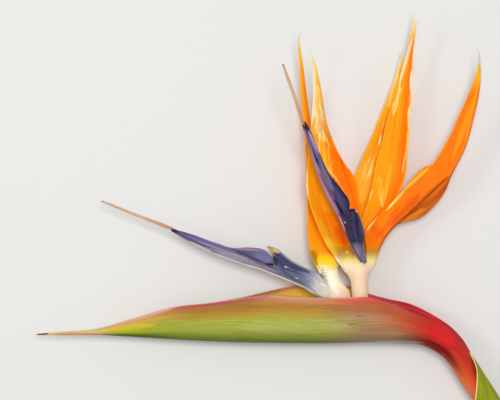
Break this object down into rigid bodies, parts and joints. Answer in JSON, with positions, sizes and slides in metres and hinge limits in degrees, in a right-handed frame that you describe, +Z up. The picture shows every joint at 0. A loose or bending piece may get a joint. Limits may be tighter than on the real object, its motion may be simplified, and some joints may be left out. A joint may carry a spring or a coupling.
{
  "type": "bird of paradise flower",
  "caption": "Cut bird of paradise flower lying on its side: long beaked spathe bent off a short stem, orange pointed sepals and violet arrow-shaped petals.",
  "frame": {"origin": "on the surface the flower lies on, under the middle of its bounding box", "axes": "+X runs from the beak of the spathe to its bend, +Y up along the sepals, +Z up from the surface the flower lies on"},
  "size_m": [0.2437, 0.258, 0.0406],
  "materials": {
    "spathe_skin": "satin",
    "stem_green": "satin",
    "sheath_green": "satin",
    "sepal_orange": "satin",
    "claw_white": "satin",
    "petal_indigo": "satin",
    "style_tan": "matte",
    "bud_cream": "satin"
  },
  "bodies": {
    "root": {"bud_1": "bud_cream", "bud_2": "bud_cream", "bud_3": "bud_cream", "front_hood_petal": "petal_indigo", "front_sepal_back": "sepal_orange", "front_sepal_far": "sepal_orange", "front_sepal_near": "sepal_orange", "front_style": "style_tan", "front_tongue": "petal_indigo", "front_tube": "claw_white", "rear_hood_petal": "petal_indigo", "rear_sepal_back": "sepal_orange", "rear_sepal_far": "sepal_orange", "rear_sepal_near": "sepal_orange", "rear_style": "style_tan", "rear_tongue": "petal_indigo", "rear_tube": "claw_white", "spathe": "spathe_skin", "stem": "stem_green", "stem_sheath": "sheath_green"}
  },
  "joints": []
}
